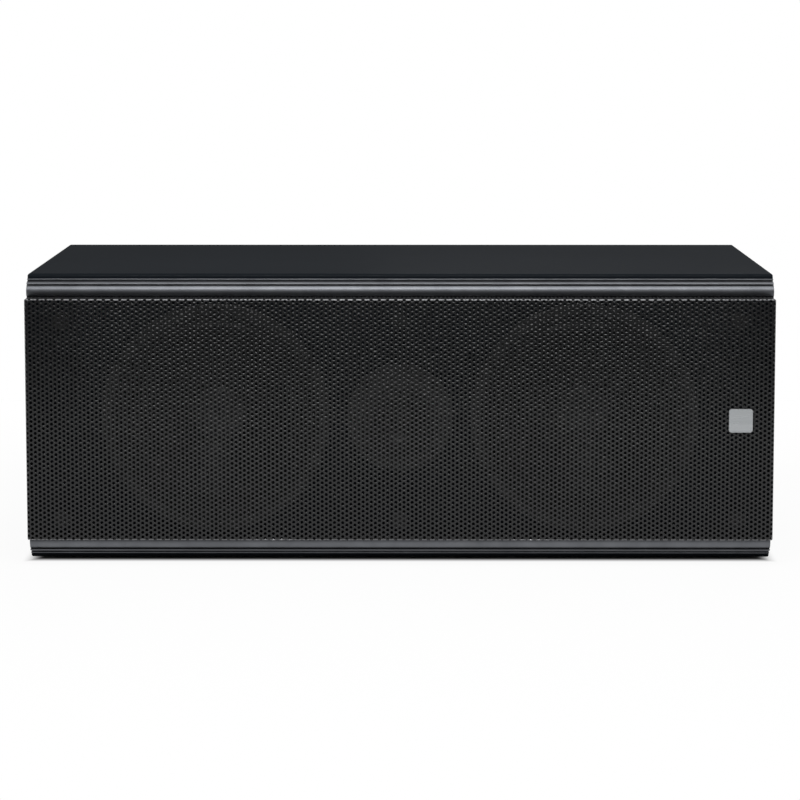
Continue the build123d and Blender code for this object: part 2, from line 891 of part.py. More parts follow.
def make_posts():
    end_y = cup_floor_y + post_length
    cap_y = cup_floor_y + post_collar + post_cap_gap
    for colour, x in post_points.items():
        with BuildPart() as post:
            for start_y, radius, length in (
                (cup_back_y - post_tail, post_radius, end_y - cup_back_y + post_tail),
                (cup_floor_y, post_collar_radius, post_collar),
            ):
                with BuildSketch(front_plane(start_y)):
                    with Locations((x, axis_z)):
                        Circle(radius)
                extrude(amount=-length)
            with BuildSketch(front_plane(end_y)):
                with Locations((x, axis_z)):
                    Circle(post_bore)
            extrude(amount=post_bore_depth, mode=Mode.SUBTRACT)
        save(post.part, f"{colour}_post")
        with BuildPart() as cap:
            with BuildSketch(front_plane(cap_y)):
                with Locations((x, axis_z)):
                    Circle(post_cap_radius)
                    with PolarLocations(post_cap_radius, post_flutes):
                        Circle(post_flute_radius, mode=Mode.SUBTRACT)
            extrude(amount=-post_cap_length)
            for depth, radius in (
                (post_cap_length - post_cap_end, post_radius + post_clearance),
                (post_cap_length, post_cap_hole),
            ):
                with BuildSketch(front_plane(cap_y)):
                    with Locations((x, axis_z)):
                        Circle(radius)
                extrude(amount=-depth, mode=Mode.SUBTRACT)
        save(cap.part, f"{colour}_post_cap")


def make_coil(label, spot, radius, bore, height, base_z):
    with BuildPart() as coil:
        with BuildSketch(Plane.XY.offset(base_z)):
            with Locations(spot):
                Circle(radius)
                Circle(bore, mode=Mode.SUBTRACT)
        extrude(amount=height)
    save(coil.part, label)


def make_crossover():
    board_z = floor_z + standoff_height
    parts_z = board_z + board_thickness
    corner = (board_width / 2 - standoff_inset, board_length / 2 - standoff_inset)
    with BuildPart() as standoffs:
        with BuildSketch(Plane.XY.offset(floor_z)):
            with Locations(*[(x * corner[0], board_y + y * corner[1]) for x in (-1, 1) for y in (-1, 1)]):
                Circle(standoff_radius)
        extrude(amount=standoff_height)
    save(standoffs.part, "crossover_standoffs")
    make_box(
        "crossover_board",
        (-board_width / 2, board_y - board_length / 2, board_z),
        (board_width / 2, board_y + board_length / 2, parts_z),
    )
    make_coil(
        "woofer_inductor",
        (-part_spacing, board_y),
        woofer_inductor_radius,
        woofer_inductor_bore,
        woofer_inductor_height,
        parts_z,
    )
    make_coil(
        "tweeter_inductor",
        (part_spacing, board_y + part_spacing / 2),
        tweeter_inductor_radius,
        tweeter_inductor_bore,
        tweeter_inductor_height,
        parts_z,
    )
    with BuildPart() as capacitors:
        for row in (0, 1):
            start = (part_spacing / 2, board_y - part_spacing / 2 - row * capacitor_spacing)
            with BuildSketch(Plane.YZ.offset(start[0])):
                with Locations((start[1], parts_z + capacitor_radius)):
                    Circle(capacitor_radius)
            extrude(amount=capacitor_length)
    save(capacitors.part, "capacitors")


def make_pads():
    """A block of wadding against the rear panel in each woofer's chamber."""
    near_x = brace_face_x + pad_margin
    far_x = inner_half_width - pad_margin
    for side, low_x, high_x in (("left", -far_x, -near_x), ("right", near_x, far_x)):
        make_box(
            f"{side}_damping_pad",
            (low_x, rear_inner_y - pad_thickness, floor_z + pad_margin),
            (high_x, rear_inner_y, ceiling_z - pad_margin),
        )


def make_leads(label, routes):
    """Round cables along bent routes, each ending square on the two pieces it joins."""
    with BuildPart() as leads:
        for route in routes:
            with BuildLine() as path:
                FilletPolyline(*route, radius=lead_bend)
            with BuildSketch(Plane(origin=path.line @ 0, z_dir=path.line % 0)):
                Circle(lead_radius)
            sweep(path=path.line)
    save(leads.part, label)


def make_wiring():
    board_top_z = floor_z + standoff_height + board_thickness
    board_front_y = board_y - board_length / 2 + lead_bend
    board_rear_y = board_y + board_length / 2 - lead_bend
    tag_y = baffle_y + spider_depth + basket_band - tab_height / 2
    turn_x = (tag_x + brace_face_x) / 2
    drop_x = board_width / 2 - standoff_inset
    make_leads(
        "woofer_leads",
        [
            [
                (sign * tag_x, tag_y, axis_z),
                (sign * turn_x, tag_y, axis_z),
                (sign * turn_x, board_front_y, axis_z),
                (sign * drop_x, board_front_y, axis_z),
                (sign * drop_x, board_front_y, board_top_z),
            ]
            for sign in (-1, 1)
        ],
    )
    yoke_y = baffle_y + tweeter_depth + dome_surround + tweeter_plate + tweeter_magnet + tweeter_back
    make_leads(
        "tweeter_lead",
        [[(0, board_front_y, board_top_z), (0, board_front_y, axis_z), (0, yoke_y, axis_z)]],
    )
    make_leads(
        "input_leads",
        [
            [(x, cup_back_y - post_tail, axis_z), (x, board_rear_y, axis_z), (x, board_rear_y, board_top_z)]
            for x in post_points.values()
        ],
    )


os.makedirs("parts", exist_ok=True)

make_top_and_bottom()
for side, low_x in (("left", -half_width), ("right", inner_half_width)):
    make_box(f"{side}_side_panel", (low_x, carcass_y, floor_z), (low_x + panel_thickness, rear_y, ceiling_z))
make_rear_panel()
make_baffle()
make_trim("top_front_trim", top_z, -1, top_trim_height)
make_trim("bottom_front_trim", underside_z, 1, bottom_trim_height)
make_feet()
make_braces()
make_grille()
make_badge()
make_pegs()
make_woofer("left", -woofer_x, 1)
make_woofer("right", woofer_x, -1)
make_tweeter()
make_terminal_cup()
make_posts()
make_crossover()
make_pads()
make_wiring()
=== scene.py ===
import json
import math

import bmesh
import bpy
import numpy as np
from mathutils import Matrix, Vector


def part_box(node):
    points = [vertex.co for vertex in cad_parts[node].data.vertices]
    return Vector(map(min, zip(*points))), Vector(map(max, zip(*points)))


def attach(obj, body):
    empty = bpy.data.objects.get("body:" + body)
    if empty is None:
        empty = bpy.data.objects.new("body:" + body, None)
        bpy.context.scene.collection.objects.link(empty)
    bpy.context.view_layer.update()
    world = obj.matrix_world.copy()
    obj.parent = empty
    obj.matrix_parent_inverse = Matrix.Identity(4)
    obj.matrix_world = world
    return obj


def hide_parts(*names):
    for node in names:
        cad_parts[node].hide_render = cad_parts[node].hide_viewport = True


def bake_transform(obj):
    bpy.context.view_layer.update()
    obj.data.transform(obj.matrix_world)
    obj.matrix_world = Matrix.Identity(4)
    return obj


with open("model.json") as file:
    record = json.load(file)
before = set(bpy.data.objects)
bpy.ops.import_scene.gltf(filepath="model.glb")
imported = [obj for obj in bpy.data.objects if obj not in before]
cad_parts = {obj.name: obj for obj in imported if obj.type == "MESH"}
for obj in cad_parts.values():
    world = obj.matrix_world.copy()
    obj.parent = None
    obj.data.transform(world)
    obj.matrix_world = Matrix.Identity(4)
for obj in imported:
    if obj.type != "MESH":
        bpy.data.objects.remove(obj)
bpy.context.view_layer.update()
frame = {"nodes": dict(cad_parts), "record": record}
nodes = frame["nodes"]
slot_of = {part["node"]: part["material_slot"] for part in frame["record"]["subparts"]}

MM = 0.001
SHARP = 40  # degrees above which an edge of a smooth piece stays hard

# The grille's sheet and holes, in millimetres
SHEET = 1.2
BEND = 1.6  # outer radius of the folds
BEND_STEPS = 6
PITCH = 4.54
HOLE = 1.60  # from the middle of a six-sided hole to its corners
HOLE_ROUND = 0.15  # width of the chamfer around its mouth
ROUND_DEPTH = 0.084
HOLE_MARGIN = 1.0  # plain sheet between the last holes and an edge
ROW_LEAN = -0.0092  # slope of the rows
SHEETS = 4  # strips that the sheet is drawn in

COLUMN = PITCH * math.cos(math.radians(30))
MOUTH = HOLE + HOLE_ROUND
MOUTH_HIGH = MOUTH * math.cos(math.radians(30))


def box_mm(node):
    low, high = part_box(node)
    return np.array(low) / MM, np.array(high) / MM


def new_piece(name, points, faces, body, slot, stands_for=(), sharp=None):
    """A mesh piece from points in millimetres, riding on a CAD body.
    With sharp, it is shaded smooth apart from edges above that angle."""
    mesh = bpy.data.meshes.new(name)
    mesh.from_pydata((np.asarray(points, float) * MM).tolist(), [], faces)
    mesh.validate()
    piece = bpy.data.objects.new(name, mesh)
    bpy.context.scene.collection.objects.link(piece)
    if sharp is not None:
        mesh.polygons.foreach_set("use_smooth", [True] * len(mesh.polygons))
        mesh.set_sharp_from_angle(angle=math.radians(sharp))
    if body:
        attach(piece, body)
    if stands_for:
        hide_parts(*stands_for)
    mesh.materials.append(finishes[slot])
    return piece


# Helpers for shader nodes

def feed(tree, value, socket):
    """Link a socket to another one, or set it to a constant."""
    if isinstance(value, bpy.types.NodeSocket):
        tree.links.new(value, socket)
    else:
        socket.default_value = value


def calc(tree, operation, *values):
    """A maths node on sockets and constants."""
    node = tree.nodes.new("ShaderNodeMath")
    node.operation = operation
    for socket, value in zip(node.inputs, values):
        feed(tree, value, socket)
    return node.outputs["Value"]


def ramp(tree, value, start, end, first=0.0, last=1.0, kind="LINEAR"):
    """The range from start to end mapped onto first to last."""
    node = tree.nodes.new("ShaderNodeMapRange")
    node.interpolation_type = kind
    names = "Value", "From Min", "From Max", "To Min", "To Max"
    for name, number in zip(names, (value, start, end, first, last)):
        feed(tree, number, node.inputs[name])
    return node.outputs["Result"]


# Finishes

TONE_BAND = 0.35, 0.65
ROUGH_BAND = 0.3, 0.7
COAT_ROUGHNESS = 0.2
CLOUD_DETAIL = 4.0


def make_finish(slot, colours, rough, metallic=0.0, specular=0.5, cloud=6.0, grain=900.0, stretch=(1, 1, 1),
                bump=0.05, depth=0.0002, detail=3.0, coat=0.0, sheen=0.0):
    """A surface whose colour drifts between two tones, with roughness and bump from a finer noise."""
    made = bpy.data.materials.new(slot)
    made.use_nodes = True
    tree = made.node_tree
    shader = tree.nodes["Principled BSDF"]
    shader.inputs["Metallic"].default_value = metallic
    shader.inputs["Specular IOR Level"].default_value = specular
    shader.inputs["Coat Weight"].default_value = coat
    shader.inputs["Coat Roughness"].default_value = COAT_ROUGHNESS
    shader.inputs["Sheen Weight"].default_value = sheen
    place = tree.nodes.new("ShaderNodeTexCoord")
    spread = tree.nodes.new("ShaderNodeMapping")
    spread.inputs["Scale"].default_value = stretch
    tree.links.new(place.outputs["Object"], spread.inputs["Vector"])

    def noise(scale, fineness):
        texture = tree.nodes.new("ShaderNodeTexNoise")
        texture.inputs["Scale"].default_value = scale
        texture.inputs["Detail"].default_value = fineness
        tree.links.new(spread.outputs["Vector"], texture.inputs["Vector"])
        return texture.outputs["Fac"]

    drift = noise(cloud, CLOUD_DETAIL)
    fine = noise(grain, detail)
    blend = calc(tree, "MULTIPLY_ADD", fine, 0.5, calc(tree, "MULTIPLY", drift, 0.5))
    tones = tree.nodes.new("ShaderNodeValToRGB")
    for stop, position, colour in zip(tones.color_ramp.elements, TONE_BAND, colours):
        stop.position = position
        stop.color = (*colour, 1)
    tree.links.new(blend, tones.inputs["Fac"])
    tree.links.new(tones.outputs["Color"], shader.inputs["Base Color"])
    tree.links.new(ramp(tree, fine, *ROUGH_BAND, *rough), shader.inputs["Roughness"])
    relief = tree.nodes.new("ShaderNodeBump")
    relief.inputs["Strength"].default_value = bump
    relief.inputs["Distance"].default_value = depth
    tree.links.new(fine, relief.inputs["Height"])
    tree.links.new(relief.outputs["Normal"], shader.inputs["Normal"])
    return made


finishes = {
    "cabinet_black": make_finish(
        "cabinet_black", ((0.0096, 0.0119, 0.0150), (0.0116, 0.0142, 0.0177)), (0.62, 0.74),
        specular=0.0, cloud=5.0, grain=1400.0, bump=0.12, coat=0.03),
    "trim_anodised": make_finish(
        "trim_anodised", ((0.122, 0.127, 0.138), (0.172, 0.178, 0.192)), (0.45, 0.57),
        metallic=1.0, cloud=60.0, grain=2600.0, bump=0.22, detail=5.0),
    "grille_black": make_finish(
        "grille_black", ((0.0036, 0.0037, 0.0045), (0.0052, 0.0053, 0.0062)), (0.14, 0.19),
        specular=0.44, cloud=8.0, grain=1800.0, bump=0.03),
    "badge_silver": make_finish(
        "badge_silver", ((0.50, 0.525, 0.54), (0.60, 0.62, 0.635)), (0.26, 0.40),
        metallic=1.0, cloud=40.0, grain=900.0, stretch=(0.06, 1, 4), bump=0.10),
    "black_rubber": make_finish(
        "black_rubber", ((0.009, 0.009, 0.0095), (0.013, 0.013, 0.0135)), (0.42, 0.56),
        specular=0.25, cloud=20.0, grain=1200.0, bump=0.10),
    "cast_black": make_finish(
        "cast_black", ((0.018, 0.018, 0.019), (0.026, 0.026, 0.027)), (0.38, 0.52),
        cloud=15.0, grain=1500.0, bump=0.18),
    "motor_steel": make_finish(
        "motor_steel", ((0.42, 0.43, 0.45), (0.52, 0.53, 0.55)), (0.28, 0.42),
        metallic=1.0, cloud=20.0, grain=700.0, stretch=(1, 5, 1), bump=0.08),
    "ferrite": make_finish(
        "ferrite", ((0.050, 0.050, 0.053), (0.075, 0.075, 0.078)), (0.60, 0.78),
        cloud=25.0, grain=1100.0, bump=0.30),
    "cone_black": make_finish(
        "cone_black", ((0.010, 0.0102, 0.0115), (0.014, 0.0142, 0.0155)), (0.30, 0.42),
        specular=0.25, cloud=18.0, grain=700.0, bump=0.10),
    "cap_black": make_finish(
        "cap_black", ((0.020, 0.020, 0.0215), (0.027, 0.027, 0.0285)), (0.30, 0.40),
        cloud=18.0, grain=900.0, bump=0.08),
    "coil_copper": make_finish(
        "coil_copper", ((0.45, 0.20, 0.09), (0.60, 0.29, 0.14)), (0.28, 0.42),
        metallic=1.0, cloud=30.0, grain=500.0, stretch=(1, 6, 1), bump=0.30),
    "spider_cloth": make_finish(
        "spider_cloth", ((0.36, 0.25, 0.11), (0.48, 0.35, 0.16)), (0.75, 0.92),
        cloud=25.0, grain=1600.0, bump=0.50),
    "dome_cloth": make_finish(
        "dome_cloth", ((0.020, 0.020, 0.021), (0.030, 0.030, 0.031)), (0.45, 0.60),
        cloud=60.0, grain=2200.0, bump=0.40),
    "faceplate_black": make_finish(
        "faceplate_black", ((0.018, 0.018, 0.019), (0.025, 0.025, 0.026)), (0.26, 0.36),
        cloud=25.0, grain=1200.0, bump=0.06),
    "screw_black": make_finish(
        "screw_black", ((0.006, 0.006, 0.0065), (0.010, 0.010, 0.0105)), (0.40, 0.55),
        specular=0.2, cloud=80.0, grain=1500.0, bump=0.10),
    "wadding": make_finish(
        "wadding", ((0.62, 0.62, 0.59), (0.78, 0.78, 0.75)), (0.85, 1.0),
        cloud=30.0, grain=260.0, bump=0.80, depth=0.002, sheen=0.3),
    "board_green": make_finish(
        "board_green", ((0.030, 0.12, 0.055), (0.045, 0.16, 0.075)), (0.32, 0.45),
        cloud=40.0, grain=900.0, bump=0.08),
    "capacitor_film": make_finish(
        "capacitor_film", ((0.09, 0.10, 0.25), (0.13, 0.14, 0.32)), (0.20, 0.32),
        cloud=50.0, grain=700.0, bump=0.05),
    "nylon": make_finish(
        "nylon", ((0.68, 0.68, 0.64), (0.77, 0.77, 0.73)), (0.45, 0.58),
        cloud=50.0, grain=900.0, bump=0.06),
    "lead_sleeve": make_finish(
        "lead_sleeve", ((0.022, 0.022, 0.022), (0.032, 0.032, 0.032)), (0.42, 0.55),
        cloud=40.0, grain=1000.0, bump=0.08),
    "terminal_black": make_finish(
        "terminal_black", ((0.020, 0.020, 0.021), (0.028, 0.028, 0.029)), (0.45, 0.60),
        cloud=30.0, grain=1600.0, bump=0.25),
    "post_brass": make_finish(
        "post_brass", ((0.66, 0.47, 0.19), (0.78, 0.60, 0.28)), (0.16, 0.28),
        metallic=1.0, cloud=60.0, grain=900.0, stretch=(1, 4, 1), bump=0.05),
    "cap_red": make_finish(
        "cap_red", ((0.44, 0.020, 0.018), (0.52, 0.032, 0.027)), (0.20, 0.32),
        cloud=60.0, grain=1200.0, bump=0.05),
    "cap_dark": make_finish(
        "cap_dark", ((0.022, 0.022, 0.022), (0.032, 0.032, 0.032)), (0.20, 0.32),
        cloud=60.0, grain=1200.0, bump=0.05),
}

for node, piece in nodes.items():
    piece.data.materials.clear()
    piece.data.materials.append(finishes[slot_of[node]])


# Grille: the folded sheet with every hole cut through it

grille_low, grille_high = box_mm("grille")
grille_half_x = (grille_high[0] - grille_low[0]) / 2
grille_half_z = (grille_high[2] - grille_low[2]) / 2
grille_mid_z = (grille_high[2] + grille_low[2]) / 2
grille_face_y = grille_low[1]
grille_depth = grille_high[1] - grille_low[1]
neutral = BEND - SHEET / 2
flange = neutral * math.pi / 2 + grille_depth - BEND
# Painted highlight: a metallic colour along the grille's folds makes them glint
FOLD_GLINT_BAND = 0.9, 0.5  # where the painted highlight on the folds starts and is full, as shares of their radius
FOLD_GLINT_COLOUR, FOLD_GLINT_ROUGHNESS = (0.16, 0.16, 0.166), 0.42


def paint_fold_glint(made, glint_colour, glint_rough):
    """Painted highlight: dark bare metal, shinier than the paint, laid along the sheet's folded edges so that
    they glint.
    """
    tree = made.node_tree
    shader = tree.nodes["Principled BSDF"]
    place = tree.nodes.new("ShaderNodeTexCoord")
    centred = tree.nodes.new("ShaderNodeVectorMath")
    centred.operation = "SUBTRACT"
    centred.inputs[1].default_value = (0, grille_face_y * MM, grille_mid_z * MM)
    tree.links.new(place.outputs["Object"], centred.inputs[0])
    sized = tree.nodes.new("ShaderNodeVectorMath")
    sized.operation = "ABSOLUTE"
    tree.links.new(centred.outputs["Vector"], sized.inputs[0])
    parts = tree.nodes.new("ShaderNodeSeparateXYZ")
    tree.links.new(sized.outputs["Vector"], parts.inputs["Vector"])

    outer, inner = (BEND * MM * share for share in FOLD_GLINT_BAND)
    sides = [
        ramp(tree, parts.outputs[axis], half * MM - outer, half * MM - inner)
        for axis, half in (("X", grille_half_x), ("Z", grille_half_z))
    ]
    front = ramp(tree, parts.outputs["Y"], inner, outer, 1.0, 0.0)
    glint_mask = calc(tree, "MULTIPLY", calc(tree, "MAXIMUM", *sides), front)
    tree.links.new(glint_mask, shader.inputs["Metallic"])
    for name, kind, value in (("Base Color", "RGBA", (*glint_colour, 1)), ("Roughness", "FLOAT", glint_rough)):
        mixed = tree.nodes.new("ShaderNodeMix")
        mixed.data_type = kind
        factor, painted, glint_input = (socket for socket in mixed.inputs if socket.enabled)
        glint_input.default_value = value
        tree.links.new(glint_mask, factor)
        tree.links.new(shader.inputs[name].links[0].from_socket, painted)
        tree.links.new(next(socket for socket in mixed.outputs if socket.enabled), shader.inputs[name])


# Painted highlight along the grille's folds
paint_fold_glint(finishes["grille_black"], FOLD_GLINT_COLOUR, FOLD_GLINT_ROUGHNESS)


def folded(across, inward, half):
    """Where a point of the flat sheet goes when its edges fold back: (offset from the middle, depth)."""
    flat = half - BEND
    reach = np.abs(across)
    angle = np.clip((reach - flat) / neutral, 0, math.pi / 2)
    beyond = np.maximum(reach - flat - neutral * math.pi / 2, 0)
    radius = BEND - inward
    offset = np.minimum(reach, flat) + radius * np.sin(angle)
    return np.sign(across) * offset, BEND - radius * np.cos(angle) + beyond


def perforated(first, last, low, high, reach):
    """The front of a flat perforated strip as points (across, up), the way from each point to its hole, and
    faces. It holds the hole columns first to last, between low and high, and reaches as far up as down."""
    rows = math.ceil((reach + abs(ROW_LEAN) * max(abs(low), abs(high))) / PITCH) + 1
    turns = np.radians(np.arange(6) * 60)
    rim = np.stack([np.cos(turns), np.sin(turns)], axis=1)
    points, ways, start = [], [], {}
    for i in range(first - 1, last + 2):
        for j in range(-rows - 1, rows + 2):
            up = (j + 0.5 * (i % 2)) * PITCH + ROW_LEAN * i * COLUMN
            corners = MOUTH * rim + (i * COLUMN, up)
            open_hole = abs(up) + MOUTH_HIGH + HOLE_MARGIN <= reach
            if not open_hole:
                corners[:, 1] = math.copysign(reach, up)
            start[i, j] = 6 * len(start)
            points.append(np.clip(corners, (low, -reach), (high, reach)))
            ways.append(-HOLE_ROUND * rim * open_hole)
    faces = []
    for (i, j), a in start.items():
        right = j + i % 2
        above, upper, lower = start.get((i, j + 1)), start.get((i + 1, right)), start.get((i + 1, right - 1))
        if above is not None:
            faces.append((a + 2, a + 1, above + 5, above + 4))
        if upper is not None:
            faces.append((a, upper + 4, upper + 3, a + 1))
        if lower is not None:
            faces.append((a + 5, lower + 3, lower + 2, a))
        if above is not None and upper is not None:
            faces.append((a + 1, upper + 3, above + 5))
        if upper is not None and lower is not None:
            faces.append((a, lower + 2, upper + 4))
    return np.concatenate(points), np.concatenate(ways), faces


def tidied(points, ways, faces):
    """Points that coincide become one, and faces with no area go."""
    keys, first, place = np.unique(np.round(points, 5), axis=0, return_index=True, return_inverse=True)
    place = place.ravel()
    kept = []
    for face in faces:
        ring = [int(place[k]) for k in face]
        ring = [k for n, k in enumerate(ring) if k != ring[n - 1]]
        if len(ring) < 3:
            continue
        flat = keys[ring]
        area = sum(p[0] * q[1] - q[0] * p[1] for p, q in zip(flat, np.roll(flat, -1, axis=0))) / 2
        if area > 1e-4:
            kept.append(tuple(ring))
    return keys, ways[first], kept


def split(points, ways, faces, axis, level):
    """The same sheet with each face that crosses a level along one axis cut in two there."""
    points, ways = list(points), list(ways)
    cuts, kept, near = {}, [], 1e-6

    def cut(a, b):
        key = min(a, b), max(a, b)
        if key not in cuts:
            share = (level - points[a][axis]) / (points[b][axis] - points[a][axis])
            cuts[key] = len(points)
            points.append(points[a] + share * (points[b] - points[a]))
            ways.append(ways[a] + share * (ways[b] - ways[a]))
        return cuts[key]

    for face in faces:
        over = [points[k][axis] - level for k in face]
        if min(over) > -near or max(over) < near:
            kept.append(face)
            continue
        below, above = [], []
        for a, b, here, there in zip(face, face[1:] + face[:1], over, over[1:] + over[:1]):
            if here <= near:
                below.append(a)
            if here >= -near:
                above.append(a)
            if abs(here) > near and abs(there) > near and here * there < 0:
                below.append(cut(a, b))
                above.append(cut(a, b))
        kept += [tuple(below), tuple(above)]
    return np.array(points), np.array(ways), kept


def creased(points, ways, faces, axis, flat):
    """The same sheet with its faces cut along lines in the bends, which start where the flat part ends."""
    for turn in np.linspace(0, neutral * math.pi / 2, BEND_STEPS + 1):
        for level in (-flat - turn, flat + turn):
            points, ways, faces = split(points, ways, faces, axis, level)
    return points, ways, faces


def thickened(flat, ways, faces, place):
    """A closed sheet: the front, the back, and a wall along every open edge, put in space by
    place(flat, inward). The mouth of each hole is chamfered on the front."""
    count = len(flat)
    edges = set()
    for face in faces:
        edges.update(zip(face, face[1:] + face[:1]))
    walls, backs = [], [tuple(k + count for k in reversed(face)) for face in faces]
    for a, b in edges:
        if (b, a) in edges:
            continue
        if ways[a].any() and ways[b].any():
            walls.append((b, a, a + 2 * count, b + 2 * count))
            walls.append((b + 2 * count, a + 2 * count, a + count, b + count))
        else:
            walls.append((b, a, a + count, b + count))
    narrow = flat + ways
    points = np.concatenate([place(flat, 0.0), place(narrow, SHEET), place(narrow, ROUND_DEPTH)])
    used = sorted({k for face in faces + backs + walls for k in face})
    renamed = {k: n for n, k in enumerate(used)}
    return points[used], [tuple(renamed[k] for k in face) for face in faces + backs + walls]


def on_front(flat, inward):
    up, depth = folded(flat[:, 1], inward, grille_half_z)
    return np.stack([flat[:, 0], grille_face_y + depth, grille_mid_z + up], axis=1)


def on_side(flat, inward):
    across, depth = folded(flat[:, 0], inward, grille_half_x)
    return np.stack([across, grille_face_y + depth, grille_mid_z + flat[:, 1]], axis=1)


def grille_corner(side, up, steps=6):
    """The rounded corner where two flanges meet, as an outer and an inner skin."""
    arc = np.linspace(0, math.pi / 2, steps + 1)
    middle = np.array([
        side * (grille_half_x - BEND),
        grille_face_y + BEND,
        grille_mid_z + up * (grille_half_z - BEND),
    ])
    skins = []
    for radius in (BEND, BEND - SHEET):
        rings = [
            [
                (
                    side * radius * math.sin(a) * math.cos(b),
                    -radius * math.cos(a),
                    up * radius * math.sin(a) * math.sin(b),
                )
                for b in arc
            ]
            for a in arc
        ]
        end = grille_depth - BEND
        rings.append([(x, end, z) for x, _, z in rings[-1]])
        skins.append(np.array(rings).reshape(-1, 3) + middle)
    wide = steps + 1
    tall = len(skins[0]) // wide
    count = len(skins[0])
    faces = []
    for r in range(tall - 1):
        for c in range(steps):
            a, b = r * wide + c, (r + 1) * wide + c
            faces.append((a, a + 1, b + 1, b))
            faces.append((count + a, count + b, count + b + 1, count + a + 1))
    for r in range(tall - 1):
        for c in (0, steps):
            a, b = r * wide + c, (r + 1) * wide + c
            faces.append((a, b, count + b, count + a))
    last = (tall - 1) * wide
    for c in range(steps):
        faces.append((last + c, last + c + 1, count + last + c + 1, count + last + c))
    return np.concatenate(skins), faces


def squared(points, faces):
    """The same shape with its doubled points joined and its faces turned outwards."""
    mesh = bmesh.new()
    corners = [mesh.verts.new(p) for p in points]
    for face in faces:
        mesh.faces.new([corners[k] for k in face])
    bmesh.ops.remove_doubles(mesh, verts=mesh.verts, dist=1e-4)
    bmesh.ops.dissolve_degenerate(mesh, edges=mesh.edges, dist=1e-5)
    bmesh.ops.recalc_face_normals(mesh, faces=mesh.faces)
    mesh.verts.index_update()
    result = [tuple(v.co) for v in mesh.verts], [tuple(v.index for v in f.verts) for f in mesh.faces]
    mesh.free()
    return np.array(result[0]), result[1]


def joined(parts):
    points, faces, count = [], [], 0
    for part_points, part_faces in parts:
        points.append(part_points)
        faces += [tuple(k + count for k in face) for face in part_faces]
        count += len(part_points)
    return np.concatenate(points), faces


flat_x = grille_half_x - BEND
edge_x = flat_x + flange
edge_up = grille_half_z - BEND + flange
side_columns = math.floor(flat_x / COLUMN)
last_column = math.floor((edge_x - MOUTH - HOLE_MARGIN) / COLUMN)
seams = [math.floor(k * 2 * side_columns / SHEETS) - side_columns for k in range(SHEETS + 1)]
for k in range(SHEETS):
    first, last = seams[k], seams[k + 1]
    low = -flat_x if k == 0 else (first + 0.5) * COLUMN
    high = flat_x if k == SHEETS - 1 else (last + 0.5) * COLUMN
    strip = perforated(first if k == 0 else first + 1, last, low, high, edge_up)
    parts = [thickened(*creased(*tidied(*strip), 1, grille_half_z - BEND), on_front)]
    for side, end in ((-1, 0), (1, SHEETS - 1)):
        if k == end:
            columns = sorted((side * (side_columns + 1), side * last_column))
            turned = perforated(*columns, *sorted((side * flat_x, side * edge_x)), grille_half_z - BEND)
            parts.append(thickened(*creased(*tidied(*turned), 0, flat_x), on_side))
            parts += [squared(*grille_corner(side, up)) for up in (-1, 1)]
    new_piece(f"grille_sheet_{k + 1}", *joined(parts), "grille_unit", "grille_black", ("grille",))


# Front trims: the moulded section drawn out along the cabinet

def arc_points(start, middle, end, steps):
    """Points along the circle through three points, without the first."""
    (ax, ay), (bx, by), (cx, cy) = start, middle, end
    d = 2 * (ax * (by - cy) + bx * (cy - ay) + cx * (ay - by))
    ux = ((ax**2 + ay**2) * (by - cy) + (bx**2 + by**2) * (cy - ay) + (cx**2 + cy**2) * (ay - by)) / d
    uy = ((ax**2 + ay**2) * (cx - bx) + (bx**2 + by**2) * (ax - cx) + (cx**2 + cy**2) * (bx - ax)) / d
    radius = math.hypot(ax - ux, ay - uy)
    first, mid, last = (math.atan2(y - uy, x - ux) for x, y in (start, middle, end))
    sweep = (last - first) % (2 * math.pi)
    if (mid - first) % (2 * math.pi) > sweep:
        sweep -= 2 * math.pi
    return [
        (ux + radius * math.cos(first + sweep * k / steps), uy + radius * math.sin(first + sweep * k / steps))
        for k in range(1, steps + 1)
    ]


def trim_section(depth, height):
    """The trim's outline as points: the setback from the front of the bead, and the rise from the face under
    the panel's lip."""
    reed_front, reed_end, reed_floor = 8.4, 1.0, 11.0
    slope_back, slope_start, slope_bulge = 9.0, 2.4, (6.025, 3.0)
    nose_back, nose_start, nose_front, nose_end = 3.3, 4.1, 3.0, 4.9
    bead_floor, bead_back, shoulder, heel = 6.8, 4.2, 5.8, 1.2
    reed_back = reed_front + reed_end / 2
    line = [(heel, height), (depth, height), (depth, 0.0), (reed_back, 0.0)]
    line += arc_points(line[-1], (reed_front, reed_end / 2), (reed_back, reed_end), 14)
    line += [(reed_floor, reed_end), (reed_floor, slope_start), (slope_back, slope_start)]
    line += arc_points(line[-1], slope_bulge, (nose_back, nose_start), 12)
    line += arc_points(line[-1], (nose_front, (nose_start + nose_end) / 2), (nose_back, nose_end), 8)
    line += [(bead_floor, nose_end), (bead_floor, shoulder), (bead_back, shoulder)]
    line += arc_points(line[-1], (0.0, (shoulder + height) / 2 + heel), line[0], 28)
    return line[:-1]


def make_trim(node, up):
    low, high = box_mm(node)
    outer_z = high[2] if up < 0 else low[2]
    section = trim_section(high[1] - low[1], high[2] - low[2])
    points = [
        (x, low[1] + setback, outer_z + up * rise)
        for x in (low[0], high[0])
        for setback, rise in section
    ]
    count = len(section)
    faces = [(k, (k + 1) % count, count + (k + 1) % count, count + k) for k in range(count)]
    faces += [tuple(range(count)), tuple(range(count, 2 * count))]
    new_piece(f"{node}_moulding", *squared(points, faces), "cabinet", "trim_anodised", (node,), sharp=SHARP)


make_trim("top_front_trim", -1)
make_trim("bottom_front_trim", 1)


# Soft rings between the moving and the fixed parts of each driver

baffle_y = box_mm("front_baffle")[0][1]


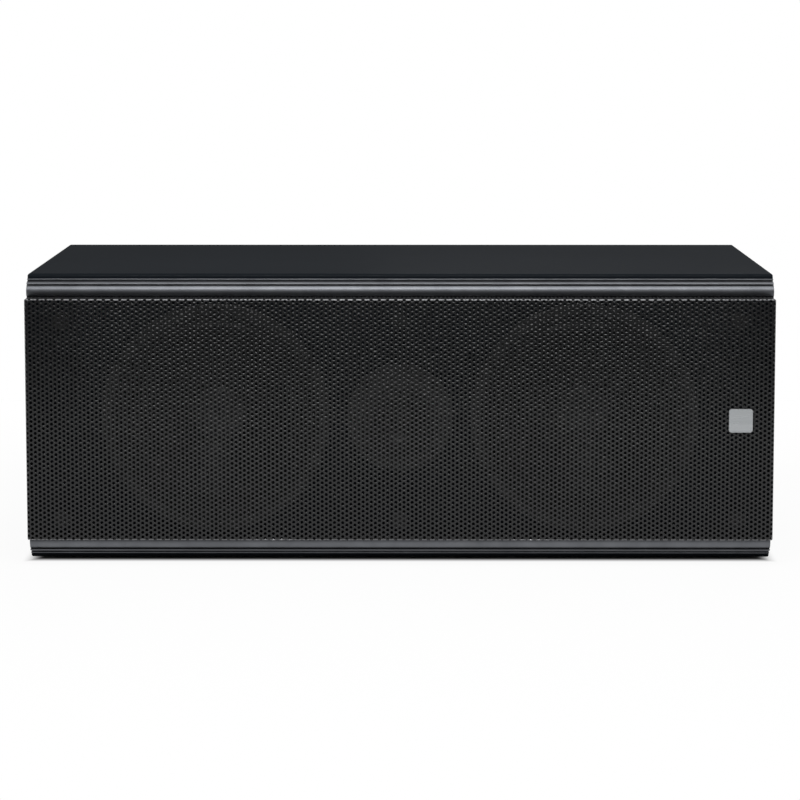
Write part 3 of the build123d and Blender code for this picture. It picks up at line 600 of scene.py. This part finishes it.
def soft_ring(node, seat, outline, slot, segments=96):
    """A turned ring, from its (radius, depth) outline. It is centred on the seat node."""
    low, high = box_mm(seat)
    middle = (low + high) / 2
    turns = np.arange(segments) * 2 * math.pi / segments
    points = [
        (middle[0] + r * math.cos(a), baffle_y + depth, middle[2] + r * math.sin(a))
        for a in turns
        for r, depth in outline
    ]
    count = len(outline)
    faces = [
        (s * count + k, s * count + (k + 1) % count, t * count + (k + 1) % count, t * count + k)
        for s in range(segments)
        for t in ((s + 1) % segments,)
        for k in range(count)
    ]
    ring = new_piece(f"{node}_ring", *squared(points, faces), None, slot, (node,), sharp=SHARP)
    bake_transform(ring)


def surround_outline():
    inner, roll_in, crest, roll_out, outer = 77.5, 81.0, 87.75, 94.5, 100.5
    seat, wall, rise, thick, steps = -3.0, 0.4, 7.0, 0.8, 20
    face = seat - thick
    line = [(inner, seat), (inner, face), (roll_in - wall, face)]
    line += arc_points((roll_in - wall, face), (crest, face - rise), (roll_out + wall, face), steps)
    line += [(outer, face), (outer, seat), (roll_out - wall, seat)]
    line += arc_points((roll_out - wall, seat), (crest, seat - rise), (roll_in + wall, seat), steps)
    return line


def spider_outline():
    inner, outer, hub, rim, seat, wall = 20.25, 60.85, 4.0, 7.0, 50.0, 0.9
    wave, waves, steps = 2.0, 4, 40
    first, last = inner + hub, outer - rim
    radii = np.linspace(first, last, steps + 1)
    swing = -wave * np.sin((radii - first) / (last - first) * waves * 2 * math.pi)
    ridge = [(inner, seat), *zip(radii.tolist(), (seat + swing).tolist()), (outer, seat)]
    return ridge + [(r, depth - wall) for r, depth in reversed(ridge)]


def dome_ring_outline():
    inner, outer, front, back = 12.85, 20.0, 12.0, 12.6
    return [(inner, front), (outer, front), (outer, back), (inner, back)]


# A soft ring for each woofer's surround and spider, and for the tweeter's dome
for side in ("left", "right"):
    unit, seat = f"{side}_woofer_cone_unit", f"{side}_woofer_basket"
    soft_ring(f"{side}_woofer_surround", seat, surround_outline(), "black_rubber")
    soft_ring(f"{side}_woofer_spider", seat, spider_outline(), "spider_cloth")
soft_ring(
    "tweeter_surround", "tweeter_faceplate",
    dome_ring_outline(), "dome_cloth",
)


# Camera at the photograph's angle

SENSOR = 36.0
FOCAL_LENGTH = 2844.3 / 800  # as a share of the picture's width
TILT, PAN = 6.628, 0.186  # degrees below level, and to the left
camera_data = bpy.data.cameras.new("camera")
camera_data.sensor_width = SENSOR
camera_data.lens = SENSOR * FOCAL_LENGTH
camera_data.shift_y = -0.075
camera_data.clip_end = 200.0
camera = bpy.data.objects.new("camera", camera_data)
camera.location = (0.00886, -2.8878, 0.53455)
camera.rotation_euler = (math.radians(90 - TILT), 0, math.radians(PAN))
bpy.context.scene.collection.objects.link(camera)
bpy.context.scene.camera = camera


# Floor, world and lamps

def seen_directly(tree):
    """1 for what the camera sees, straight, in a reflection or through glass, and 0 for light that is shed."""
    path = tree.nodes.new("ShaderNodeLightPath")
    total = path.outputs["Is Camera Ray"]
    for name in ("Is Glossy Ray", "Is Transmission Ray"):
        total = calc(tree, "MAXIMUM", total, path.outputs[name])
    return total


# The backdrop is white behind the speaker and falls off to a dimmer room in front of it
ROOM_LEVEL = 0.14
AMBIENT = 0.20
WORLD_FADE = -0.75, 0.10  # along the direction's y
FLOOR_FADE = -1.8, -1.05  # along y, outside the photograph's frame
world = bpy.data.worlds.new("studio")
bpy.context.scene.world = world
world.use_nodes = True
tree = world.node_tree
sky = tree.nodes["Background"]
sky.inputs["Color"].default_value = (1, 1, 1, 1)
way = tree.nodes.new("ShaderNodeTexCoord")
heading = tree.nodes.new("ShaderNodeSeparateXYZ")
tree.links.new(way.outputs["Generated"], heading.inputs["Vector"])
room = ramp(tree, heading.outputs["Y"], *WORLD_FADE, ROOM_LEVEL, 1.0, "SMOOTHSTEP")
tree.links.new(ramp(tree, seen_directly(tree), 0.0, 1.0, AMBIENT, room), sky.inputs["Strength"])

FLOOR_HALF = 40.0
floor_mesh = bpy.data.meshes.new("floor")
floor_mesh.from_pydata(
    [(x * FLOOR_HALF, y * FLOOR_HALF, 0) for x, y in ((-1, -1), (1, -1), (1, 1), (-1, 1))],
    [], [(0, 1, 2, 3)],
)
floor = bpy.data.objects.new("floor", floor_mesh)
bpy.context.scene.collection.objects.link(floor)

# The floor glows white where the camera sees it, and less so next to the speaker, where its shadow falls
FLOOR_TONE = 0.86
GLOW_STEPS = (-0.010, 0.010, 0.95), (0.05, 0.80, 0.05)  # start and end past the cabinet's edge, and amount
paper = bpy.data.materials.new("floor_paper")
paper.use_nodes = True
tree = paper.node_tree
tree.nodes.remove(tree.nodes["Principled BSDF"])
matt = tree.nodes.new("ShaderNodeBsdfDiffuse")
glow = tree.nodes.new("ShaderNodeEmission")
glow.inputs["Color"].default_value = (1, 1, 1, 1)
glow.inputs["Strength"].default_value = 1.0
spot = tree.nodes.new("ShaderNodeNewGeometry")
spread = tree.nodes.new("ShaderNodeSeparateXYZ")
tree.links.new(spot.outputs["Position"], spread.inputs["Vector"])
outside = []
for axis, low, high in zip("XY", *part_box("bottom_panel")):
    far = calc(tree, "ABSOLUTE", calc(tree, "SUBTRACT", spread.outputs[axis], (high + low) / 2))
    outside.append(calc(tree, "SUBTRACT", far, (high - low) / 2))
reach = calc(tree, "MAXIMUM", *outside)
glows = [ramp(tree, reach, start, end, 0.0, amount, "SMOOTHSTEP") for start, end, amount in GLOW_STEPS]
front = ramp(tree, spread.outputs["Y"], *FLOOR_FADE, ROOM_LEVEL, 1.0, "SMOOTHSTEP")
paler = tree.nodes.new("ShaderNodeVectorMath")
paler.operation = "SCALE"
paler.inputs[0].default_value = (FLOOR_TONE, FLOOR_TONE, FLOOR_TONE)
tree.links.new(front, paler.inputs["Scale"])
tree.links.new(paler.outputs["Vector"], matt.inputs["Color"])
dimmed = calc(tree, "MULTIPLY", calc(tree, "ADD", *glows), front)
share = calc(tree, "MULTIPLY", dimmed, seen_directly(tree))
mixed = tree.nodes.new("ShaderNodeMixShader")
tree.links.new(share, mixed.inputs["Fac"])
tree.links.new(matt.outputs["BSDF"], mixed.inputs[1])
tree.links.new(glow.outputs["Emission"], mixed.inputs[2])
tree.links.new(mixed.outputs["Shader"], tree.nodes["Material Output"].inputs["Surface"])
floor_mesh.materials.append(paper)


def softbox(name, place, aim, size, power):
    """A rectangular lamp at a place, turned to its aim, with its size in metres and its power in watts."""
    lamp = bpy.data.lights.new(name, "AREA")
    lamp.shape = "RECTANGLE"
    lamp.size, lamp.size_y = size
    lamp.energy = power
    box = bpy.data.objects.new(name, lamp)
    box.location = place
    box.rotation_euler = (Vector(aim) - Vector(place)).to_track_quat("-Z", "Y").to_euler()
    bpy.context.scene.collection.objects.link(box)


softbox("key_softbox", (0.0, -0.95, 1.50), (0, -0.19, 0.20), (1.00, 0.14), 17.0)
softbox("fill_softbox", (0.1, -0.10, 1.90), (0, 0.0, 0.1), (1.6, 0.9), 5.5)
softbox("rear_softbox", (0.5, 1.90, 1.10), (0, 0.19, 0.15), (1.2, 0.6), 14.0)

bpy.context.scene.view_settings.view_transform = "Standard"
